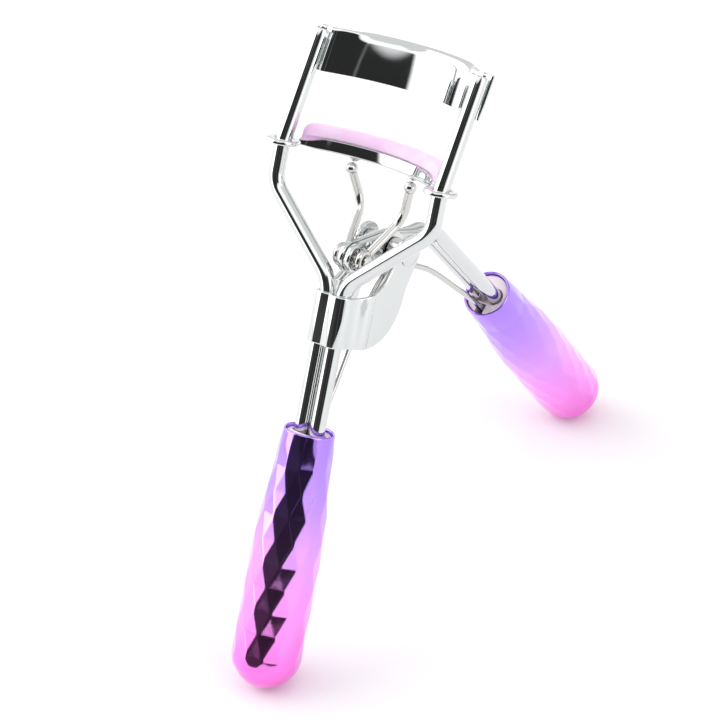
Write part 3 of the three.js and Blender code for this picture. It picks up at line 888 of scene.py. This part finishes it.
def add_links():
    floor = CHANNEL_TOP - GROOVE_DEPTH
    for name, side in (("left", -1), ("right", 1)):
        profile = [(0, floor + 0.4), (0.5, floor + 0.36), (0.8, floor + 0.15), (0.4, floor),
                   (0.4, CHANNEL_BOTTOM), (0.95, CHANNEL_BOTTOM - 0.03), (1.0, CHANNEL_BOTTOM - 0.2),
                   (0.8, CHANNEL_BOTTOM - 0.48), (0.45, CHANNEL_BOTTOM - 0.65),
                   (0, CHANNEL_BOTTOM - BOSS_HEIGHT)]
        place = JAWS @ Matrix.Translation((side * LINK_TOP_X, jaw_depth(LINK_TOP_X), 0))
        finish_piece(lathe(f"{name}_link_boss", profile, place), CHROME, "lower_jaw", f"{name}_link_rivet")

        ball = link_ball(side)
        knee = Vector((side * LINK_KNEE.x, LINK_KNEE.y, LINK_KNEE.z))
        eye = Vector((side * LINK_LOW_X, LINK_PIN.y, LINK_PIN.z))
        toward = Vector((0, knee.y - eye.y, knee.z - eye.z)).normalized()
        eye_radius = LINK_PIN_RADIUS + 0.15 + LINK_RADIUS * 0.8
        path = filleted([ball, knee, eye + toward * eye_radius], [4], math.radians(4), 1.0)
        wire = tube(f"{name}_link_wire", path, LINK_RADIUS, Matrix.Identity(4), sides=24)
        ring = arc_points(Vector((0, 0, 0)), eye_radius, 0, 2 * math.pi, math.radians(10))[:-1]
        section = rounded_rectangle(1.2, 1.2, 0.55, 5)
        loop = strip("loop", ring, lambda i: section, across_place(eye), closed=True)
        dome = []
        for k in range(13):
            angle = math.pi * k / 12
            dome.append((LINK_BALL_RADIUS * math.sin(angle), LINK_BALL_RADIUS * math.cos(angle)))
        bead = lathe("bead", dome, Matrix.Translation(ball), sides=32)
        finish_piece(join_solids(wire, loop, bead), WIRE, "links", f"{name}_link")
    pin = headed_pin("link_pin_turned", LINK_PIN, LINK_PIN_RADIUS, 1.15, 0.5, LINK_LOW_X + 0.75)
    finish_piece(pin, WIRE, "links", "link_pin")


# ---- lever ----
def add_lever():
    to_pin = Vector((LINK_PIN.y - PIVOT.y, LINK_PIN.z - PIVOT.z, 0))
    reach = to_pin.length
    angle = math.atan2(to_pin.y, to_pin.x)
    place = Matrix.Translation(PIVOT) @ Matrix.Rotation(angle, 4, "X")
    eye_radius = LINK_EYE_HOLE + 0.8
    outline = arc_points(Vector((0, 0, 0)), PIVOT_EYE_RADIUS, math.pi / 2, 1.5 * math.pi, math.radians(6))
    outline += arc_points(Vector((reach, 0, 0)), eye_radius, -math.pi / 2, math.pi / 2, math.radians(6))
    holes = [arc_points(Vector((0, 0, 0)), RIVET_RADIUS + 0.1, 0, 2 * math.pi, math.radians(10))[:-1],
             arc_points(Vector((reach, 0, 0)), LINK_EYE_HOLE, 0, 2 * math.pi, math.radians(8))[:-1]]
    outlines = [[(p.x, p.y) for p in ring] for ring in [outline, *holes]]
    flat_length = 7
    for name, side in (("left", -1), ("right", 1)):
        start = PIVOT.lerp(LEVER_BEND, 0.2)
        inside = REAR @ Vector((0, 0, -ROD_DEPTH))
        path = filleted([start, LEVER_BEND, REAR_MOUTH, inside], [5, 6], math.radians(5), 0.8)
        plate_x = (EYE_INNER_X + EYE_OUTER_X) / 2
        shares = [min(1, (p - start).length / flat_length) for p in path]
        across = [side * (plate_x + (SHANK_X - plate_x) * share) for share in shares]
        path = [Vector((x, p.y, p.z)) for p, x in zip(path, across)]

        def flatten(i, _):
            ease = shares[i] ** 2 * (3 - 2 * shares[i])
            return (0.5 + (ROD_RADIUS - 0.5) * ease, 1.9 + (ROD_RADIUS - 1.9) * ease)

        rod = tube(f"{name}_lever_rod", path, ROD_RADIUS, Matrix.Identity(4), sides=40, end_round=0.3,
                   flatten=flatten)
        low, high = sorted((side * EYE_INNER_X, side * EYE_OUTER_X))
        blade = plate("blade", outlines, low, high, place, edge=0.15)
        finish_piece(join_solids(rod, blade), CHROME, "lever", f"{name}_lever_arm")


# ---- spring ----
def add_spring():
    front = [FRONT @ Vector((0, p, s)) for p, s in
             ((SPRING_OFFSET, -PLUG_DEPTH), (SPRING_OFFSET, 0), (4.7, 7), (7, 14))]
    arch = [Vector((0, 41.2, 58.4)), Vector((0, 49.6, 54.2)), Vector((0, 58.2, 44.9))]
    rear = [REAR @ Vector((0, -SPRING_OFFSET, s)) for s in (0, -PLUG_DEPTH)]
    spring = tube("spring_wire", smooth_curve(front + arch + rear), SPRING_RADIUS, Matrix.Identity(4),
                  sides=20)
    finish_piece(spring, WIRE, None, "opening_spring")
    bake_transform(spring)


# ---- stage ----
CAMERA_AZIMUTH = math.radians(41.8)
CAMERA_ELEVATION = math.radians(35.07)
CAMERA_ROLL = math.radians(-6.73)
CAMERA_DISTANCE = 0.5192
CAMERA_TARGET = Vector((0, 0.0317, 0.0462))
CAMERA_LENS = 157.3
TENT_SIDE = 0.88
TENT_TOP = 0.9
# azimuth from and to, elevation from and to, softness of the edges (all degrees), brightness factor
TENT_PATCHES = (
    (-32, 62, -14, 46, 2, 0.035),
    (-32, 4, -14, 22, 8, 2.0),
    (30, 33, -14, 46, 1, 5.0),
    (-105, -36, 2, 56, 3, 3.0),
    (76, 104, 2, 56, 3, 2.8),
    (104, 130, 2, 56, 3, 1.3),
    (-36, 76, 50, 72, 3, 1.6),
    (106, 109, -20, 48, 1, 0.2),
    (-84, -81, -20, 48, 1, 0.2),
    (150, 165, -20, 50, 4, 0.6),
    (-165, -150, -20, 50, 4, 0.6),
)


def direction(azimuth, elevation):
    """Unit vector from the object towards a viewer or light: azimuth 0 is in front, at -Y."""
    return Vector((math.sin(azimuth) * math.cos(elevation), -math.cos(azimuth) * math.cos(elevation),
                   math.sin(elevation)))


def add_camera():
    camera = bpy.data.objects.new("camera", bpy.data.cameras.new("camera"))
    camera.data.lens = CAMERA_LENS
    camera.data.clip_start = 0.01
    back = direction(CAMERA_AZIMUTH, CAMERA_ELEVATION)
    right = Vector((math.cos(CAMERA_AZIMUTH), math.sin(CAMERA_AZIMUTH), 0))
    up = back.cross(right)
    turn = Matrix((right, up, back)).transposed() @ Matrix.Rotation(CAMERA_ROLL, 3, "Z")
    camera.matrix_world = Matrix.Translation(CAMERA_TARGET + back * CAMERA_DISTANCE) @ turn.to_4x4()
    bpy.context.scene.collection.objects.link(camera)
    bpy.context.scene.camera = camera


def add_floor():
    half = 3.0
    mesh = bpy.data.meshes.new("floor")
    mesh.from_pydata([(-half, -half, 0), (half, -half, 0), (half, half, 0), (-half, half, 0)], [],
                     [(0, 1, 2, 3)])
    floor = new_object("floor", mesh)
    material, _, _, shader = new_material("studio_floor")
    shader.inputs["Base Color"].default_value = (0.86, 0.86, 0.86, 1)
    shader.inputs["Roughness"].default_value = 0.55
    shader.inputs["Specular IOR Level"].default_value = 0.2
    shader.inputs["Emission Color"].default_value = (1, 0.985, 1, 1)
    shader.inputs["Emission Strength"].default_value = 0.1
    mesh.materials.append(material)


def band(nodes, links, value, low, high, blur):
    """1 where the value lies between low and high, 0 outside, with soft edges."""
    both = nodes.new("ShaderNodeMath")
    both.operation = "MULTIPLY"
    for slot, (zero, one) in enumerate(((low - blur, low + blur), (high + blur, high - blur))):
        edge = nodes.new("ShaderNodeMapRange")
        edge.interpolation_type = "SMOOTHSTEP"
        edge.inputs["From Min"].default_value = zero
        edge.inputs["From Max"].default_value = one
        links.new(value, edge.inputs["Value"])
        links.new(edge.outputs["Result"], both.inputs[slot])
    return both.outputs["Value"]


def maths(nodes, links, operation, *values):
    node = nodes.new("ShaderNodeMath")
    node.operation = operation
    for slot, value in enumerate(values):
        if isinstance(value, (int, float)):
            node.inputs[slot].default_value = value
        else:
            links.new(value, node.inputs[slot])
    return node.outputs["Value"]


def add_world():
    """White tent with a dark opening in front, which gives the chrome its dark bands, brighter panels
    beside and above it, and narrow dark posts, which give thin lines."""
    world = bpy.data.worlds.new("studio")
    world.use_nodes = True
    bpy.context.scene.world = world
    nodes, links = world.node_tree.nodes, world.node_tree.links
    coordinates = nodes.new("ShaderNodeTexCoord")
    axes = nodes.new("ShaderNodeSeparateXYZ")
    links.new(coordinates.outputs["Generated"], axes.inputs["Vector"])
    east, north, height = (axes.outputs[i] for i in "XYZ")
    azimuth = maths(nodes, links, "ARCTAN2", east, maths(nodes, links, "MULTIPLY", north, -1))
    elevation = maths(nodes, links, "ARCSINE", height)
    strength = maths(nodes, links, "MULTIPLY_ADD", height, TENT_TOP - TENT_SIDE, TENT_SIDE)
    for low, high, bottom, top, blur, factor in TENT_PATCHES:
        across = band(nodes, links, azimuth, *(math.radians(v) for v in (low, high, blur)))
        upward = band(nodes, links, elevation, *(math.radians(v) for v in (bottom, top, blur)))
        share = maths(nodes, links, "MULTIPLY", across, upward)
        keep = maths(nodes, links, "MULTIPLY_ADD", share, factor - 1, 1)
        strength = maths(nodes, links, "MULTIPLY", strength, keep)
    links.new(strength, nodes["Background"].inputs["Strength"])
    nodes["Background"].inputs["Color"].default_value = (1, 1, 1, 1)


def add_light(name, azimuth, elevation, distance, size, radiance):
    data = bpy.data.lights.new(name, "AREA")
    data.shape = "RECTANGLE"
    data.size = size[0]
    data.size_y = size[1]
    data.energy = radiance * math.pi * size[0] * size[1]
    light = bpy.data.objects.new(name, data)
    back = direction(azimuth, elevation)
    light.location = CAMERA_TARGET + back * distance
    light.rotation_euler = back.to_track_quat("Z", "Y").to_euler()
    bpy.context.scene.collection.objects.link(light)
    return light


def add_lights():
    lights = (
        add_light("left_softbox", math.radians(-70), math.radians(35), 0.9, (0.4, 0.6), 0.4),
        add_light("right_softbox", math.radians(100), math.radians(35), 0.9, (0.4, 0.6), 0.3),
        add_light("top_softbox", math.radians(200), math.radians(80), 0.9, (0.9, 0.9), 0.3),
    )
    for light in lights:
        light.visible_glossy = False


add_camera()
add_handles()
add_frame_rods()
add_upper_jaw()
add_bracket()
add_pivot()
add_lower_jaw()
add_pad()
add_links()
add_lever()
add_spring()
add_floor()
add_world()
add_lights()
bpy.context.scene.view_settings.view_transform = "Standard"
